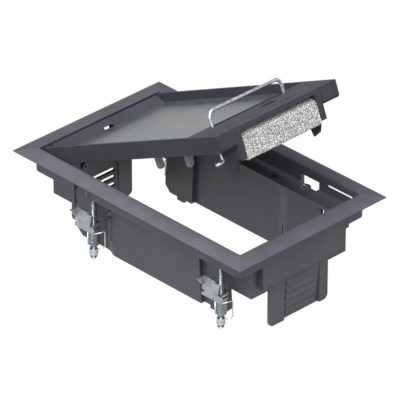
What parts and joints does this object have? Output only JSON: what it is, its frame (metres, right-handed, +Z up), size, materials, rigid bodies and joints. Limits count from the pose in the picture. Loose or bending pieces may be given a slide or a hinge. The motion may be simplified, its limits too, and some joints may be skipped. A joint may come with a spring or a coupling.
{
  "type": "floor box insert",
  "caption": "Rectangular floor box insert with trim flange, louvred side legs, screw-driven floor claws and a hinged tray lid with a wire bail and foam-lined cord outlet.",
  "frame": {"origin": "centre of the footprint, at the feet of the side legs", "axes": "+Z up; +X along the long side towards the cord outlet; -Y towards the near long side"},
  "size_m": [0.226, 0.1412, 0.1526],
  "materials": {
    "frame_plastic": "satin charcoal moulding",
    "lid_plastic": "satin charcoal moulding",
    "lid_sheet": "dull galvanised sheet",
    "peg_plastic": "pale grey moulding",
    "bright_wire": "bright drawn wire",
    "outlet_foam": "open speckled foam",
    "bright_steel": "bright zinc",
    "black_steel": "blackened screws and pins",
    "zinc_steel": "dull zinc",
    "collar_plastic": "pale moulding"
  },
  "bodies": {
    "frame": {"trim_frame": "frame_plastic", "well_frame": "frame_plastic", "side_wall_near": "frame_plastic", "side_wall_far": "frame_plastic", "leg_outlet_end": "frame_plastic", "leg_hinge_end": "frame_plastic", "leg_screw_outlet_near": "black_steel", "leg_screw_outlet_far": "black_steel", "leg_screw_hinge_far": "black_steel", "leg_screw_hinge_near": "black_steel", "wall_screw_near_hinge": "black_steel", "wall_screw_near_outlet": "black_steel", "wall_screw_far_outlet": "black_steel", "wall_screw_far_hinge": "black_steel", "hinge_pin_near": "black_steel", "hinge_pin_far": "black_steel"},
    "lid": {"lid_shell": "lid_plastic", "lid_plate": "lid_sheet", "lid_peg_near_hinge": "peg_plastic", "lid_peg_near_outlet": "peg_plastic", "lid_peg_far_hinge": "peg_plastic", "lid_peg_far_outlet": "peg_plastic", "outlet_pin_near": "black_steel", "outlet_pin_far": "black_steel"},
    "cord_outlet": {"outlet_frame": "lid_plastic", "outlet_foam": "outlet_foam"},
    "bail": {"bail": "bright_wire"},
    "screw_near_hinge": {"clamp_screw_near_hinge": "bright_steel", "clamp_collar_near_hinge": "collar_plastic"},
    "bush_near_hinge": {"clamp_bush_near_hinge": "zinc_steel"},
    "claw_near_hinge": {"clamp_claw_near_hinge": "zinc_steel", "clamp_clip_near_hinge": "bright_steel"},
    "screw_near_outlet": {"clamp_screw_near_outlet": "bright_steel", "clamp_collar_near_outlet": "collar_plastic"},
    "bush_near_outlet": {"clamp_bush_near_outlet": "zinc_steel"},
    "claw_near_outlet": {"clamp_claw_near_outlet": "zinc_steel", "clamp_clip_near_outlet": "bright_steel"},
    "screw_far_outlet": {"clamp_screw_far_outlet": "bright_steel", "clamp_collar_far_outlet": "collar_plastic"},
    "bush_far_outlet": {"clamp_bush_far_outlet": "zinc_steel"},
    "claw_far_outlet": {"clamp_claw_far_outlet": "zinc_steel", "clamp_clip_far_outlet": "bright_steel"},
    "screw_far_hinge": {"clamp_screw_far_hinge": "bright_steel", "clamp_collar_far_hinge": "collar_plastic"},
    "bush_far_hinge": {"clamp_bush_far_hinge": "zinc_steel"},
    "claw_far_hinge": {"clamp_claw_far_hinge": "zinc_steel", "clamp_clip_far_hinge": "bright_steel"}
  },
  "joints": [
    {"name": "lid_hinge", "type": "hinge", "parent": "frame", "child": "lid", "pos_m": [-0.098, 0, 0.06835], "axis": [0, -1, 0], "range_deg": [-25, 65]},
    {"name": "outlet_tilt", "type": "hinge", "parent": "lid", "child": "cord_outlet", "pos_m": [0.07168, 0, 0.14505], "axis": [0, 1, 0], "range_deg": [0, 22]},
    {"name": "bail_slide", "type": "slide", "parent": "lid", "child": "bail", "axis": [-0.4226, 0, 0.9063], "range_m": [-0.012, 0]},
    {"name": "screw_spin_near_hinge", "type": "hinge", "parent": "frame", "child": "screw_near_hinge", "pos_m": [-0.0512, -0.052, 0.03], "axis": [0, 0, 1], "continuous": true},
    {"name": "claw_lift_near_hinge", "type": "slide", "parent": "frame", "child": "bush_near_hinge", "axis": [0, 0, 1], "range_m": [0, 0.012]},
    {"name": "claw_swing_near_hinge", "type": "hinge", "parent": "bush_near_hinge", "child": "claw_near_hinge", "pos_m": [-0.0512, -0.052, 0.025], "axis": [0, 0, 1], "range_deg": [0, 60]},
    {"name": "screw_spin_near_outlet", "type": "hinge", "parent": "frame", "child": "screw_near_outlet", "pos_m": [0.076, -0.052, 0.03], "axis": [0, 0, 1], "continuous": true},
    {"name": "claw_lift_near_outlet", "type": "slide", "parent": "frame", "child": "bush_near_outlet", "axis": [0, 0, 1], "range_m": [0, 0.012]},
    {"name": "claw_swing_near_outlet", "type": "hinge", "parent": "bush_near_outlet", "child": "claw_near_outlet", "pos_m": [0.076, -0.052, 0.025], "axis": [0, 0, 1], "range_deg": [0, 60]},
    {"name": "screw_spin_far_outlet", "type": "hinge", "parent": "frame", "child": "screw_far_outlet", "pos_m": [0.0512, 0.052, 0.03], "axis": [0, 0, 1], "continuous": true},
    {"name": "claw_lift_far_outlet", "type": "slide", "parent": "frame", "child": "bush_far_outlet", "axis": [0, 0, 1], "range_m": [0, 0.012]},
    {"name": "claw_swing_far_outlet", "type": "hinge", "parent": "bush_far_outlet", "child": "claw_far_outlet", "pos_m": [0.0512, 0.052, 0.025], "axis": [0, 0, 1], "range_deg": [0, 60]},
    {"name": "screw_spin_far_hinge", "type": "hinge", "parent": "frame", "child": "screw_far_hinge", "pos_m": [-0.076, 0.052, 0.03], "axis": [0, 0, 1], "continuous": true},
    {"name": "claw_lift_far_hinge", "type": "slide", "parent": "frame", "child": "bush_far_hinge", "axis": [0, 0, 1], "range_m": [0, 0.012]},
    {"name": "claw_swing_far_hinge", "type": "hinge", "parent": "bush_far_hinge", "child": "claw_far_hinge", "pos_m": [-0.076, 0.052, 0.025], "axis": [0, 0, 1], "range_deg": [0, 60]}
  ]
}
